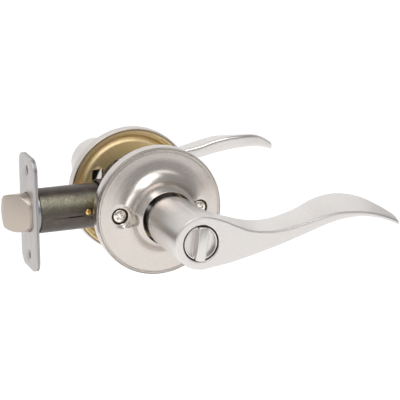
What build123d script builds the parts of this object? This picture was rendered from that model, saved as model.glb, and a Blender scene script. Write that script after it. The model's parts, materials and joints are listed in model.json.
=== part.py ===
from build123d import *
import math
import os

# Privacy lever set with its tubular latch, in millimetres.
# The origin is where the spindle axis (Y) crosses the latch axis (X), in the middle of the door.
# The door's edge is towards -X, the turn button and the room inside are towards -Y, and +Z is up.

# Driving dimensions
door_thickness = 34.9
backset = 60.3
rose_diameter = 65.0
lever_length = 104.0
lever_stand_off = 64.0
turn_angle = 50.0
running_fit = 0.05
cut_margin = 1.0

# Rose: a pressed cover
rose_wall = 1.1
rim_height = 6.9
rim_round = 1.3
foot_bevel = 0.4
groove_inset = 1.7
groove_depth = 0.3
groove_slope = 0.1
collar_clearance = 1.6
collar_height = 20.0
lip_depth = 2.0
shoulder_drop = 1.75
cup_land = 1.0
cup_wall = 0.9
cup_floor = 0.8
cup_depth = 1.0
cup_gap = 0.3

# Backplate: a stepped pressing with the bearing sleeve
plate_wall = 1.2
plate_gap = 0.3
plate_back = 0.6
floor_gap = 0.5
bead_inset = 4.6
bead_margin = 1.7
bead_height = 2.4
sleeve_wall = 1.25
sleeve_setback = 9.0
screw_hole_radius = 2.6
window_x = -17.6
window_z = 9.4
window_size = 6.3

# Lever neck, head and hub
hub_radius = 11.6
neck_step = 1.1
neck_gap = 3.5
edge_round = 0.5
lever_bore_radius = 6.0
socket_slack = 2.5
socket_end_web = 2.6

# Turn button and lock rod
button_bore_radius = 8.8
button_bore_depth = 13.0
button_clearance = 0.4
button_setback = 0.4
button_thickness = 9.5
button_pocket = 2.0
button_web = 1.5
button_bar_width = 5.2
button_bar_height = 3.2
button_bar_tilt = 8.0
rod_radius = 1.9
rod_clearance = 0.3
rod_grip = 3.0
rod_tail = 2.0
pin_hole_radius = 1.6
release_clearance = 0.3
release_gap = 0.4
release_thickness = 4.0
release_slot_width = 1.4
release_slot_depth = 1.2

# Spindle
spindle_width = 8.0
spindle_reach = 17.5

# Cam, spring and ring round the hub
cam_thickness = 1.2
cam_gap = 0.2
lug_offset = 2.5
lug_width = 1.3
lug_reach = 1.6
lug_half_angle = 5.0
lug_start = 115.0
lug_clearance = 0.3
cam_rim = 0.2
slot_margin = 3.0
spring_wire = 1.0
spring_clearance = 0.4
spring_gap = 0.1
spring_pitch = 1.25
spring_turns = 3
ring_thickness = 0.9
ring_depth = 0.7
ring_overhang = 1.4
ring_gap = 0.1
ring_land = 0.2
ring_opening = 40.0

# Screws and posts
screw_head_radius = 3.5
screw_head_height = 1.6
screw_head_round = 0.9
screw_head_clearance = 0.6
screw_margin = 1.95
screw_reach = 8.0
recess_width = 1.2
recess_length = 4.0
recess_depth = 1.1
post_radius = 3.5
post_bore_radius = 2.1
post_end = -9.0

# Latch
faceplate_height = 57.15
faceplate_width = 25.4
faceplate_corner = 6.35
faceplate_thickness = 1.2
backing_thickness = 1.0
faceplate_hole_spacing = 42.9
faceplate_hole_radius = 2.2
backing_hole_radius = 2.4
faceplate_sink_radius = 3.7
faceplate_sink_depth = 0.6
bolt_radius = 9.5
bolt_flat = 8.0
bolt_clearance = 0.3
bolt_throw = 10.8
bolt_inside = 13.3
bolt_bevel_depth = 9.5
bolt_tip_y = 5.0
tube_radius = 11.1
tube_wall = 0.9
tube_gap = 2.1
tube_margin = 0.1
collar_reach = 8.1
case_front = 13.0
case_half_width = 5.8
case_wall = 0.8
case_clearance = 0.15
hub_barrel_radius = 7.5
hub_barrel_half = 4.8
hub_hole_clearance = 0.65
post_clearance = 0.5
lobe_overreach = 0.5
lobe_lean = 25.0
lobe_width = 2.4
lobe_half_depth = 2.0
retractor_plate = 2.5
retractor_inset = 0.9
retractor_flat_inset = 0.5
rail_root = 1.0
rail_inner_y = 2.6
rail_outer_y = 4.4
rail_low_z = 5.0
rail_step_z = 7.8
rail_high_z = 8.5
rail_top_z = 10.7
rail_step_gap = 4.0
rail_block = 3.0
catch_gap = 0.35
catch_width = 2.4
rail_clearance = 0.5
seat_thickness = 2.0
bolt_spring_clearance = 0.9
bolt_spring_turns = 6
rivet_radius = 1.4
rivet_head = 0.3
rivet_tail = 0.2
rivet_setback = 8.25
rivet_z = -0.1

# Worked out: the roses and backplates
half_door = door_thickness / 2
rose_radius = rose_diameter / 2
groove_radius = rose_radius - groove_inset
collar_radius = hub_radius + collar_clearance
plate_radius = rose_radius - rose_wall - plate_gap
floor_height = rim_height - groove_depth - rose_wall - floor_gap
floor_back = floor_height - plate_wall
bead_outer = plate_radius - bead_inset
sleeve_inner = hub_radius + running_fit
sleeve_outer = sleeve_inner + sleeve_wall
sleeve_end = collar_height - sleeve_setback
cup_bore_radius = screw_head_radius + screw_head_clearance
cup_land_radius = cup_bore_radius + cup_land
cup_radius = cup_land_radius + cup_wall
cup_base = floor_height + cup_gap
cup_seat = cup_base + cup_floor
cup_top = cup_seat + cup_depth

# Worked out: what turns with the levers
neck_radius = hub_radius + neck_step
neck_start = collar_height + neck_gap
lever_bore_start = spindle_reach + socket_slack
socket_width = spindle_width + 2 * running_fit
face_y = half_door + lever_stand_off
button_radius = button_bore_radius - button_clearance
button_face = lever_stand_off - button_setback
button_base = button_face - button_thickness
button_floor = button_face - button_pocket - button_web
rod_hole_radius = rod_radius + rod_clearance
release_radius = lever_bore_radius - release_clearance
release_top = lever_stand_off - socket_end_web - release_gap
release_base = release_top - release_thickness
cam_front = floor_back - cam_gap
cam_back = cam_front - cam_thickness
lug_inner = sleeve_outer + lug_offset
lug_outer = lug_inner + lug_width
lug_top = floor_height + lug_reach
cam_radius = lug_outer + cam_rim
slot_inner = lug_inner - lug_clearance
slot_outer = lug_outer + lug_clearance
bead_inner = slot_outer + bead_margin
screw_offset = bead_inner + screw_margin
spring_radius = sleeve_outer + spring_wire / 2 + spring_clearance
spring_base = floor_height + spring_wire / 2 + spring_gap
ring_outer = hub_radius + ring_overhang
ring_back = cam_back - ring_gap - ring_thickness
ring_inner = hub_radius - ring_depth
hub_end = ring_back - ring_land

# Worked out: screws and latch
screw_radius = post_bore_radius - running_fit
plate_front_x = -backset
plate_mid_x = plate_front_x + faceplate_thickness
plate_rear_x = plate_mid_x + backing_thickness
tube_start = plate_rear_x + tube_gap
tube_bore = tube_radius - tube_wall
tube_end = -(screw_offset + post_radius + tube_margin)
collar_end = plate_rear_x + collar_reach
bolt_tip_x = plate_front_x - bolt_throw
bolt_back = plate_front_x + bolt_inside
seat_front = tube_end - seat_thickness
rail_step_x = tube_end + rail_step_gap
retractor_plate_radius = bolt_radius - retractor_inset
lobe_reach = rail_top_z + lobe_overreach
case_bore = math.hypot(rail_outer_y, rail_top_z) + case_clearance
case_radius = case_bore + case_wall
bolt_spring_radius = rail_low_z - spring_wire / 2 - bolt_spring_clearance
rivet_x = tube_end - rivet_setback

# Side of the door: the inside is towards -Y and the outside towards +Y
INSIDE = -1
OUTSIDE = 1

os.makedirs("parts", exist_ok=True)


def save(piece, name):
    piece.part.label = name
    export_step(piece.part, f"parts/{name}.step")


def on_side(side, points):
    """Turn (radius, height above the door's face) into X and Y of the revolved section."""
    return [(radius, side * (half_door + height)) for radius, height in points]


def across(y):
    """Plane square to the spindle at Y = y, with its own X along X and its own Y along Z."""
    return Plane(origin=(0, y, 0), x_dir=(1, 0, 0), z_dir=(0, -1, 0))


def above(side, height):
    """Plane square to the spindle at a height above the door's face."""
    return across(side * (half_door + height))


def outward(side, amount):
    """Extrusion length from an across() plane, away from the door when amount is positive."""
    return -side * amount


def rotated(angle, radius):
    return (radius * math.cos(math.radians(angle)), radius * math.sin(math.radians(angle)))


def sector(inner, outer, start, end):
    """Closed ring sector from start to end in degrees, drawn in a BuildLine."""
    middle = (start + end) / 2
    ThreePointArc(rotated(start, outer), rotated(middle, outer), rotated(end, outer))
    ThreePointArc(rotated(start, inner), rotated(middle, inner), rotated(end, inner))
    Line(rotated(start, inner), rotated(start, outer))
    Line(rotated(end, inner), rotated(end, outer))


# Roses

def dome_points():
    """Outside of the rose from the groove in to the collar, as (radius, height)."""
    face = rim_height - groove_depth
    rise = collar_height - face
    span = groove_radius - groove_slope - collar_radius
    shares = [(1.0, 0.0), (0.66, 0.05), (0.415, 0.155), (0.23, 0.42), (0.125, 0.76), (0.0, 1.0)]
    return [(collar_radius + span * out, face + rise * up) for out, up in shares]


def rose_section(side):
    outer = dome_points()
    inner = [(radius - rose_wall, height - rose_wall) for radius, height in outer[:-1]]
    lip = (collar_radius, collar_height - lip_depth)
    rim_top = rose_radius - rim_round
    bend = rim_round * (1 - math.sqrt(0.5))
    inner_rim = rose_radius - rose_wall
    rim = on_side(side, [(rose_radius - foot_bevel, 0), (rose_radius, rim_height - rim_round)])
    corner = on_side(side, [(rose_radius - bend, rim_height - bend), (rim_top, rim_height)])
    step = on_side(side, [(rim_top, rim_height), (groove_radius, rim_height), outer[0]])
    outside = on_side(side, outer)
    inside = on_side(side, inner + [lip])
    back = on_side(side, [inner[0], (inner_rim, rim_height - shoulder_drop), (inner_rim, 0)])
    foot = on_side(side, [(inner_rim, 0), (rose_radius - foot_bevel, 0)])
    Line(*rim)
    ThreePointArc(rim[1], corner[0], corner[1])
    Polyline(*step)
    Spline(*outside)
    Line(outside[-1], inside[-1])
    Spline(*inside)
    Polyline(*back)
    Line(*foot)


def make_cup_blanks(side):
    """Two plugs between the underside of the screw cups and the outside of the rose."""
    outside = on_side(side, dome_points())
    under = on_side(side, [(collar_radius, cup_base), (groove_radius - groove_slope, cup_base)])
    with BuildPart() as blanks:
        with BuildSketch(Plane.XY):
            with BuildLine():
                Spline(*outside)
                Polyline(outside[-1], *under, outside[0])
            make_face()
        revolve(axis=Axis.Y)
        with BuildSketch(above(side, cup_base)):
            with Locations((-screw_offset, 0), (screw_offset, 0)):
                Circle(cup_radius)
        extrude(amount=outward(side, collar_height), mode=Mode.INTERSECT)
    return blanks


def make_rose(side, cups):
    blanks = make_cup_blanks(side)
    with BuildPart() as rose:
        with BuildSketch(Plane.XY):
            with BuildLine():
                rose_section(side)
            make_face()
        revolve(axis=Axis.Y)
        if cups:
            add(blanks.part)
            cuts = ((cup_top, cup_land_radius), (cup_seat, cup_bore_radius), (0, screw_hole_radius))
            for height, radius in cuts:
                with BuildSketch(above(side, height)):
                    with Locations((-screw_offset, 0), (screw_offset, 0)):
                        Circle(radius)
                extrude(amount=outward(side, collar_height), mode=Mode.SUBTRACT)
    return rose


# Backplates

def make_backplate(side):
    bead_back = bead_height - plate_wall
    wall = plate_wall
    section = [
        (plate_radius, plate_back),
        (plate_radius, floor_height),
        (bead_outer, floor_height),
        (bead_outer, bead_height),
        (bead_inner, bead_height),
        (bead_inner, floor_height),
        (sleeve_outer, floor_height),
        (sleeve_outer, sleeve_end),
        (sleeve_inner, sleeve_end),
        (sleeve_inner, floor_back),
        (bead_inner - wall, floor_back),
        (bead_inner - wall, bead_back),
        (bead_outer + wall, bead_back),
        (bead_outer + wall, floor_back),
        (plate_radius - wall, floor_back),
        (plate_radius - wall, plate_back),
    ]
    slot_start = lug_start + lug_half_angle + slot_margin
    slot_end = lug_start - turn_angle - lug_half_angle - slot_margin
    with BuildPart() as plate:
        with BuildSketch(Plane.XY):
            with BuildLine():
                Polyline(*on_side(side, section), close=True)
            make_face()
        revolve(axis=Axis.Y)
        with BuildSketch(above(side, 0)):
            with BuildLine():
                sector(slot_inner, slot_outer, slot_start, slot_end)
            make_face()
            with Locations((-screw_offset, 0), (screw_offset, 0)):
                Circle(screw_hole_radius)
            with Locations((window_x, window_z)):
                Rectangle(window_size, window_size)
        extrude(amount=outward(side, floor_height + cut_margin), mode=Mode.SUBTRACT)
    return plate


# Cams, springs and retaining rings

def make_cam(side):
    with BuildPart() as cam:
        with BuildSketch(above(side, cam_back)):
            Circle(cam_radius)
            Circle(hub_radius, mode=Mode.SUBTRACT)
        extrude(amount=outward(side, cam_front - cam_back))
        with BuildSketch(above(side, cam_back)):
            with BuildLine():
                sector(lug_inner, lug_outer, lug_start + lug_half_angle, lug_start - lug_half_angle)
            make_face()
        extrude(amount=outward(side, lug_top - cam_back))
    return cam


def make_return_spring(side):
    height = spring_turns * spring_pitch
    base_y = side * (half_door + spring_base)
    with BuildPart() as spring:
        with BuildLine(Plane.XY):
            coil = Helix(
                pitch=spring_pitch,
                height=height,
                radius=spring_radius,
                center=(0, base_y, 0),
                direction=(0, side, 0),
            )
        with BuildSketch(Plane(origin=coil @ 0, z_dir=coil % 0)):
            Circle(spring_wire / 2)
        sweep(path=coil, is_frenet=True)
    return spring


def make_retaining_ring(side):
    with BuildPart() as ring:
        with BuildSketch(above(side, ring_back)):
            Circle(ring_outer)
            Circle(ring_inner, mode=Mode.SUBTRACT)
            with BuildLine():
                sector(
                    ring_inner - cut_margin,
                    ring_outer + cut_margin,
                    270 + ring_opening / 2,
                    270 - ring_opening / 2,
                )
            make_face(mode=Mode.SUBTRACT)
        extrude(amount=outward(side, ring_thickness))
    return ring


# Levers

# Sections of the blade from the neck to the tip. Each gives the share of the lever's length, then the
# top and bottom of the face, the depth behind the face, and the top and bottom of the rear edge.
blade_sections = [
    (0.020, 12.3, -12.4, 15.0, 12.0, -12.0),
    (0.100, 10.5, -11.8, 16.5, 10.2, -9.6),
    (0.165, 7.0, -10.8, 14.6, 8.4, -6.6),
    (0.240, 3.5, -9.1, 13.6, 5.6, -4.0),
    (0.345, 1.8, -6.3, 14.2, 4.3, -2.4),
    (0.445, 2.5, -3.5, 15.8, 5.3, -1.4),
    (0.560, 5.0, 0.1, 18.2, 7.7, 0.6),
    (0.670, 7.0, 3.2, 20.2, 10.2, 3.3),
    (0.770, 6.6, 4.1, 19.8, 10.6, 4.0),
    (0.865, 4.7, 2.6, 15.2, 8.6, 2.2),
    (0.940, 2.0, 0.0, 8.6, 4.8, -0.4),
    (0.985, -0.6, -2.4, 4.0, 0.9, -2.5),
]


def blade_corners(side, section):
    """The section's four corners as (Y, Z), with the face on the lever's outer plane."""
    share, face_top, face_bottom, depth, rear_top, rear_bottom = section
    front = side * face_y
    rear = side * (face_y - depth)
    return [(front, face_top), (front, face_bottom), (rear, rear_bottom), (rear, rear_top)]


def make_lever(side, bore_radius, bore_depth):
    with BuildPart() as lever:
        for section in blade_sections:
            with BuildSketch(Plane.YZ.offset(section[0] * lever_length)) as outline:
                with BuildLine():
                    Polyline(*blade_corners(side, section), close=True)
                make_face()
                fillet(outline.vertices(), radius=edge_round)
        loft()
        with BuildSketch(above(side, neck_start)):
            Circle(neck_radius)
        extrude(amount=outward(side, lever_stand_off - neck_start))
        with BuildSketch(above(side, hub_end)):
            Circle(hub_radius)
        extrude(amount=outward(side, neck_start - hub_end))
        with BuildSketch(above(side, ring_back)):
            Circle(hub_radius + cut_margin)
            Circle(ring_inner, mode=Mode.SUBTRACT)
        extrude(amount=outward(side, ring_thickness), mode=Mode.SUBTRACT)
        with BuildSketch(above(side, 0)):
            Rectangle(socket_width, socket_width)
        extrude(amount=outward(side, lever_bore_start), mode=Mode.SUBTRACT)
        with BuildSketch(above(side, lever_bore_start)):
            Circle(lever_bore_radius)
        extrude(amount=outward(side, lever_stand_off - socket_end_web - lever_bore_start), mode=Mode.SUBTRACT)
        with BuildSketch(above(side, lever_stand_off)):
            Circle(bore_radius)
        extrude(amount=outward(side, -bore_depth), mode=Mode.SUBTRACT)
    return lever


# The two sides of the door
for side, room in ((INSIDE, "interior"), (OUTSIDE, "exterior")):
    save(make_rose(side, side == INSIDE), f"{room}_rose")
    save(make_backplate(side), f"{room}_backplate")
    save(make_cam(side), f"{room}_drive_cam")
    save(make_return_spring(side), f"{room}_return_spring")
    save(make_retaining_ring(side), f"{room}_retaining_ring")

save(make_lever(INSIDE, button_bore_radius, button_bore_depth), "interior_lever")
save(make_lever(OUTSIDE, pin_hole_radius, socket_end_web + cut_margin), "exterior_lever")

# Turn button: a disc with a grip bar across it
with BuildPart() as turn_button:
    with BuildSketch(above(INSIDE, button_base)):
        Circle(button_radius)
        Circle(rod_radius, mode=Mode.SUBTRACT)
    extrude(amount=outward(INSIDE, button_floor - button_base))
    with BuildSketch(above(INSIDE, button_floor)):
        Circle(button_radius)
    extrude(amount=outward(INSIDE, button_web))
    with BuildSketch(above(INSIDE, button_floor)):
        Circle(button_radius)
        Rectangle(button_bar_width, 3 * button_radius, rotation=-button_bar_tilt, mode=Mode.INTERSECT)
    extrude(amount=outward(INSIDE, button_web + button_pocket + button_bar_height))
save(turn_button, "turn_button")

# Emergency release: slotted disc on the far end of the lock rod
with BuildPart() as emergency_release:
    with BuildSketch(above(OUTSIDE, release_base)):
        Circle(release_radius)
        Circle(rod_radius, mode=Mode.SUBTRACT)
    extrude(amount=outward(OUTSIDE, release_thickness))
    with BuildSketch(above(OUTSIDE, release_top)):
        Rectangle(2 * release_radius, release_slot_width)
    extrude(amount=outward(OUTSIDE, -release_slot_depth), mode=Mode.SUBTRACT)
save(emergency_release, "emergency_release")

# Lock rod through the spindle, from the turn button to the emergency release
rod_start = -(half_door + button_base + rod_grip)
rod_end = half_door + release_base + rod_tail
with BuildPart() as lock_rod:
    with BuildSketch(across(rod_start)):
        Circle(rod_radius)
    extrude(amount=rod_start - rod_end)
save(lock_rod, "lock_rod")

# Spindle: square tube through the latch hub, into both levers
spindle_half = half_door + spindle_reach
with BuildPart() as spindle:
    with BuildSketch(across(-spindle_half)):
        Rectangle(spindle_width, spindle_width)
        Circle(rod_hole_radius, mode=Mode.SUBTRACT)
    extrude(amount=-2 * spindle_half)
save(spindle, "spindle")

# Mounting screws: heads in the cups of the inside rose, shanks in the posts
head_y = -(half_door + cup_seat)
with BuildPart() as mounting_screws:
    with BuildSketch(across(head_y)):
        with Locations((-screw_offset, 0), (screw_offset, 0)):
            Circle(screw_head_radius)
    extrude(amount=screw_head_height)
    fillet(mounting_screws.edges().group_by(Axis.Y)[0], radius=screw_head_round)
    with BuildSketch(across(head_y)):
        with Locations((-screw_offset, 0), (screw_offset, 0)):
            Circle(screw_radius)
    extrude(amount=-(screw_reach - head_y))
    with BuildSketch(across(head_y - screw_head_height)):
        with Locations((-screw_offset, 0), (screw_offset, 0)):
            Rectangle(recess_length, recess_width)
            Rectangle(recess_width, recess_length)
    extrude(amount=-recess_depth, mode=Mode.SUBTRACT)
save(mounting_screws, "mounting_screws")

# Posts on the outside backplate
post_start = half_door + bead_height - plate_wall
with BuildPart() as screw_posts:
    with BuildSketch(across(post_start)):
        with Locations((-screw_offset, 0), (screw_offset, 0)):
            Circle(post_radius)
            Circle(post_bore_radius, mode=Mode.SUBTRACT)
    extrude(amount=post_start - post_end)
save(screw_posts, "screw_posts")

# Latch: planes and outlines square to its axis

def square_to_latch(x):
    """Plane square to the latch at X = x, with its own X along Y and its own Y along Z."""
    return Plane(origin=(x, 0, 0), x_dir=(0, 1, 0), z_dir=(1, 0, 0))


def bolt_outline(radius, flat, mode=Mode.ADD):
    """D-shaped outline whose flat faces the inside of the door, drawn in a BuildSketch."""
    keep = Rectangle(2 * radius, 2 * radius, align=(Align.MIN, Align.CENTER), mode=Mode.PRIVATE)
    add(Circle(radius, mode=Mode.PRIVATE).intersect(Pos(-flat, 0) * keep), mode=mode)


def plate_outline(hole_radius):
    """Rounded plate with its two screw holes, drawn in a BuildSketch."""
    RectangleRounded(faceplate_width, faceplate_height, faceplate_corner)
    with Locations((0, -faceplate_hole_spacing / 2), (0, faceplate_hole_spacing / 2)):
        Circle(hole_radius, mode=Mode.SUBTRACT)


# Faceplate, with a D-shaped hole for the bolt and countersunk screw holes
with BuildPart() as latch_faceplate:
    with BuildSketch(square_to_latch(plate_front_x)):
        plate_outline(faceplate_hole_radius)
        bolt_outline(bolt_radius + bolt_clearance, bolt_flat + bolt_clearance, Mode.SUBTRACT)
    extrude(amount=faceplate_thickness)
hole_edges = latch_faceplate.edges().filter_by(GeomType.CIRCLE).filter_by(
    lambda edge: abs(edge.radius - faceplate_hole_radius) < running_fit
)
sinks = hole_edges.group_by(Axis.X)[0]
with latch_faceplate:
    chamfer(sinks, length=faceplate_sink_depth, length2=faceplate_sink_radius - faceplate_hole_radius)
save(latch_faceplate, "latch_faceplate")

# Backing plate, with a round hole that holds the collar
with BuildPart() as faceplate_backing:
    with BuildSketch(square_to_latch(plate_mid_x)):
        plate_outline(backing_hole_radius)
        Circle(tube_bore + running_fit, mode=Mode.SUBTRACT)
    extrude(amount=backing_thickness)
save(faceplate_backing, "faceplate_backing")

# Collar: the bolt's guide, from the faceplate through the backing plate and into the tube
with BuildPart() as latch_collar:
    with BuildSketch(square_to_latch(plate_mid_x)):
        Circle(tube_bore)
        bolt_outline(bolt_radius + running_fit, bolt_flat + running_fit, Mode.SUBTRACT)
    extrude(amount=collar_end - plate_mid_x)
save(latch_collar, "latch_collar")

# Latch tube with its end wall, which the retractor's rails pass through
rail_window = (2 * (rail_outer_y + rail_clearance), rail_step_z - rail_low_z + 2 * rail_clearance)
with BuildPart() as latch_tube:
    with BuildSketch(square_to_latch(tube_start)):
        Circle(tube_radius)
        Circle(tube_bore, mode=Mode.SUBTRACT)
    extrude(amount=tube_end - tube_start)
    with BuildSketch(square_to_latch(seat_front)):
        Circle(tube_bore)
        with Locations((0, (rail_low_z + rail_step_z) / 2), (0, -(rail_low_z + rail_step_z) / 2)):
            Rectangle(*rail_window, mode=Mode.SUBTRACT)
    extrude(amount=seat_thickness)
    with BuildSketch(across(-tube_radius - cut_margin)):
        with Locations((rivet_x, rivet_z)):
            Circle(rivet_radius)
    extrude(amount=-(tube_wall + 2 * cut_margin), mode=Mode.SUBTRACT)
save(latch_tube, "latch_tube")

# Rivet in the tube's wall
with BuildPart() as latch_rivet:
    with BuildSketch(across(-tube_radius - rivet_head)):
        with Locations((rivet_x, rivet_z)):
            Circle(rivet_radius)
    extrude(amount=-(rivet_head + tube_wall + rivet_tail))
save(latch_rivet, "latch_rivet")


def flattened_circle(radius, half_width, mode=Mode.ADD):
    """Circle cut flat towards both faces of the door, drawn in a BuildSketch."""
    slab = Rectangle(2 * half_width, 2 * radius, mode=Mode.PRIVATE)
    add(Circle(radius, mode=Mode.PRIVATE).intersect(slab), mode=mode)


# Case round the hub: the tube carried on with its sides pressed flat, and closed at the far end
case_length = case_front - tube_end
with BuildPart() as latch_case:
    with BuildSketch(square_to_latch(tube_end)):
        flattened_circle(case_radius, case_half_width)
    extrude(amount=case_length)
    with BuildSketch(square_to_latch(tube_end)):
        flattened_circle(case_bore, case_half_width - case_wall)
    extrude(amount=case_length - case_wall, mode=Mode.SUBTRACT)
    with BuildSketch(across(-case_half_width)):
        Circle(spindle_width / math.sqrt(2) + hub_hole_clearance)
        with Locations((-screw_offset, 0)):
            Circle(post_radius + post_clearance)
    extrude(amount=-2 * case_half_width, mode=Mode.SUBTRACT)
save(latch_case, "latch_case")

# Hub with a lobe above and below
with BuildPart() as latch_hub:
    with BuildSketch(across(-hub_barrel_half)):
        Circle(hub_barrel_radius)
    extrude(amount=-2 * hub_barrel_half)
    with BuildSketch(across(-lobe_half_depth)):
        for turn in (90 + lobe_lean, 270 - lobe_lean):
            with Locations(Rotation(0, 0, turn)):
                with Locations((lobe_reach / 2, 0)):
                    Rectangle(lobe_reach, lobe_width)
    extrude(amount=-2 * lobe_half_depth)
    with BuildSketch(across(-hub_barrel_half)):
        Rectangle(socket_width, socket_width)
    extrude(amount=-2 * hub_barrel_half, mode=Mode.SUBTRACT)
save(latch_hub, "latch_hub")

# Bolt: D-section, bevelled towards the inside face
with BuildPart() as latch_bolt:
    with BuildSketch(square_to_latch(bolt_tip_x)):
        bolt_outline(bolt_radius, bolt_flat)
    extrude(amount=bolt_back - bolt_tip_x)
    with BuildSketch(Plane.XY.offset(-bolt_radius - cut_margin)):
        with BuildLine():
            Polyline(
                (bolt_tip_x - cut_margin, bolt_tip_y),
                (bolt_tip_x, bolt_tip_y),
                (bolt_tip_x + bolt_bevel_depth, -bolt_flat),
                (bolt_tip_x + bolt_bevel_depth, -bolt_radius - cut_margin),
                (bolt_tip_x - cut_margin, -bolt_radius - cut_margin),
                close=True,
            )
        make_face()
    extrude(amount=2 * (bolt_radius + cut_margin), mode=Mode.SUBTRACT)
save(latch_bolt, "latch_bolt")

# Retractor: a plate behind the bolt with stepped rails above and below, each ending in a catch
lean = math.radians(lobe_lean)
catch_x = lobe_width / 2 / math.cos(lean) - rail_high_z * math.tan(lean) + catch_gap
with BuildPart() as bolt_retractor:
    with BuildSketch(square_to_latch(bolt_back)):
        Circle(retractor_plate_radius)
        bolt_outline(retractor_plate_radius, bolt_flat - retractor_flat_inset, Mode.INTERSECT)
    extrude(amount=retractor_plate)
    for up in (1, -1):
        with BuildSketch(across(-rail_outer_y)):
            with BuildLine():
                Polyline(
                    (bolt_back + rail_root, up * rail_low_z),
                    (rail_step_x + rail_block, up * rail_low_z),
                    (rail_step_x + rail_block, up * rail_high_z),
                    (catch_x + catch_width, up * rail_high_z),
                    (catch_x + catch_width, up * rail_top_z),
                    (rail_step_x, up * rail_top_z),
                    (rail_step_x, up * rail_step_z),
                    (bolt_back + rail_root, up * rail_step_z),
                    close=True,
                )
            make_face()
        extrude(amount=-2 * rail_outer_y)
    slot_start_x = bolt_back + retractor_plate
    with BuildSketch(across(-rail_inner_y)):
        with Locations(((slot_start_x + catch_x) / 2, 0)):
            Rectangle(catch_x - slot_start_x, 2 * (rail_top_z + cut_margin))
    extrude(amount=-2 * rail_inner_y, mode=Mode.SUBTRACT)
save(bolt_retractor, "bolt_retractor")

# Bolt spring between the retractor's plate and the end wall of the tube
spring_start = bolt_back + retractor_plate + spring_wire / 2
spring_length = seat_front - spring_wire / 2 - spring_start
with BuildPart() as bolt_spring:
    with BuildLine():
        coil = Helix(
            pitch=spring_length / bolt_spring_turns,
            height=spring_length,
            radius=bolt_spring_radius,
            center=(spring_start, 0, 0),
            direction=(1, 0, 0),
        )
    with BuildSketch(Plane(origin=coil @ 0, z_dir=coil % 0)):
        Circle(spring_wire / 2)
    sweep(path=coil, is_frenet=True)
save(bolt_spring, "bolt_spring")
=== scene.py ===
"""Looks of the door lever set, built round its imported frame. Lengths are in millimetres until a mesh is made."""
import json
import math

import bmesh
import bpy
import numpy as np
from mathutils import Matrix, Vector


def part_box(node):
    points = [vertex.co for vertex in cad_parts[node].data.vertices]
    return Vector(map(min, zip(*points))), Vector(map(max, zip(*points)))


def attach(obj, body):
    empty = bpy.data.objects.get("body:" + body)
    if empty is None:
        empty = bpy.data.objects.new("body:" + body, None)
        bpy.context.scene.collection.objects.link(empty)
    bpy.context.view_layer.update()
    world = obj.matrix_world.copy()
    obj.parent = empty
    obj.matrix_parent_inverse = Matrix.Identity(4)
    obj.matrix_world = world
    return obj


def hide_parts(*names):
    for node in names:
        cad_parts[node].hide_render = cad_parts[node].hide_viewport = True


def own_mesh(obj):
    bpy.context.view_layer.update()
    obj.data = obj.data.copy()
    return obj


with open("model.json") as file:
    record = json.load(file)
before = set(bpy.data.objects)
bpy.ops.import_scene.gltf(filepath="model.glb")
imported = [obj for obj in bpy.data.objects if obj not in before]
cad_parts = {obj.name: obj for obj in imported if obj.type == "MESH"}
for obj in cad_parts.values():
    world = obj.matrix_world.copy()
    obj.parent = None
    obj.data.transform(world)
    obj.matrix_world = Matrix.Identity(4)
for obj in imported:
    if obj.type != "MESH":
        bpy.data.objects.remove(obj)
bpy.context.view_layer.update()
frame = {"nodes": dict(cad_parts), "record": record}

MM = 0.001


def box_mm(node):
    """Lowest and highest corners of a frame node, in millimetres."""
    low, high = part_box(node)
    return np.array(low) / MM, np.array(high) / MM


# Sizes read from the frame
rose_low, rose_high = box_mm("exterior_rose")
lever_low, lever_high = box_mm("exterior_lever")
tube_low, tube_high = box_mm("latch_tube")
rivet_low, rivet_high = box_mm("latch_rivet")
screws_low, screws_high = box_mm("mounting_screws")

HALF_DOOR = rose_low[1]
ROSE_RADIUS = rose_high[0]
COLLAR_HEIGHT = rose_high[1] - rose_low[1]
FACE_Y = lever_high[1]
LEVER_LENGTH = lever_high[0]
STAND_OFF = FACE_Y - HALF_DOOR
NECK_RADIUS = -lever_low[0]
SCREW_HEAD_RADIUS = screws_high[2]
SCREW_X = screws_high[0] - SCREW_HEAD_RADIUS
BODY_OF = {node: body for body, nodes in frame["record"]["behaviour"]["bodies"].items() for node in nodes}

# Sides of the door along Y
INSIDE = -1
OUTSIDE = 1


# Meshes

def new_piece(name, surface):
    """Smooth mesh object, its faces turned outwards, from points in millimetres and blocks of faces."""
    points, blocks = surface
    mesh = bpy.data.meshes.new(name)
    mesh.from_pydata((np.asarray(points) * MM).tolist(), [], [row for block in blocks for row in block.tolist()])
    work = bmesh.new()
    work.from_mesh(mesh)
    bmesh.ops.recalc_face_normals(work, faces=work.faces)
    work.to_mesh(mesh)
    work.free()
    mesh.polygons.foreach_set("use_smooth", np.ones(len(mesh.polygons), dtype=bool))
    mesh.update()
    piece = bpy.data.objects.new(name, mesh)
    bpy.context.scene.collection.objects.link(piece)
    return piece


def stands_for(piece, node):
    """Makes the piece take a frame node's place and body: it joins the node's body and hides the node."""
    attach(piece, BODY_OF[node])
    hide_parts(node)


def joined(*surfaces):
    """Several surfaces as one: their points in a row, and their faces numbered on."""
    starts = np.cumsum([0] + [len(points) for points, _ in surfaces])
    blocks = [block + start for (_, group), start in zip(surfaces, starts) for block in group]
    return np.concatenate([points for points, _ in surfaces]), blocks


def capped(rings):
    """Closed surface through rings of points, shape (rings, points, 3), with a flat face at each end."""
    rings = np.asarray(rings, float)
    count, size = rings.shape[:2]
    ring = np.arange(size)[None]
    return rings.reshape(-1, 3), [grid_faces(count, size, False, True), ring, ring + (count - 1) * size]


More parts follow.
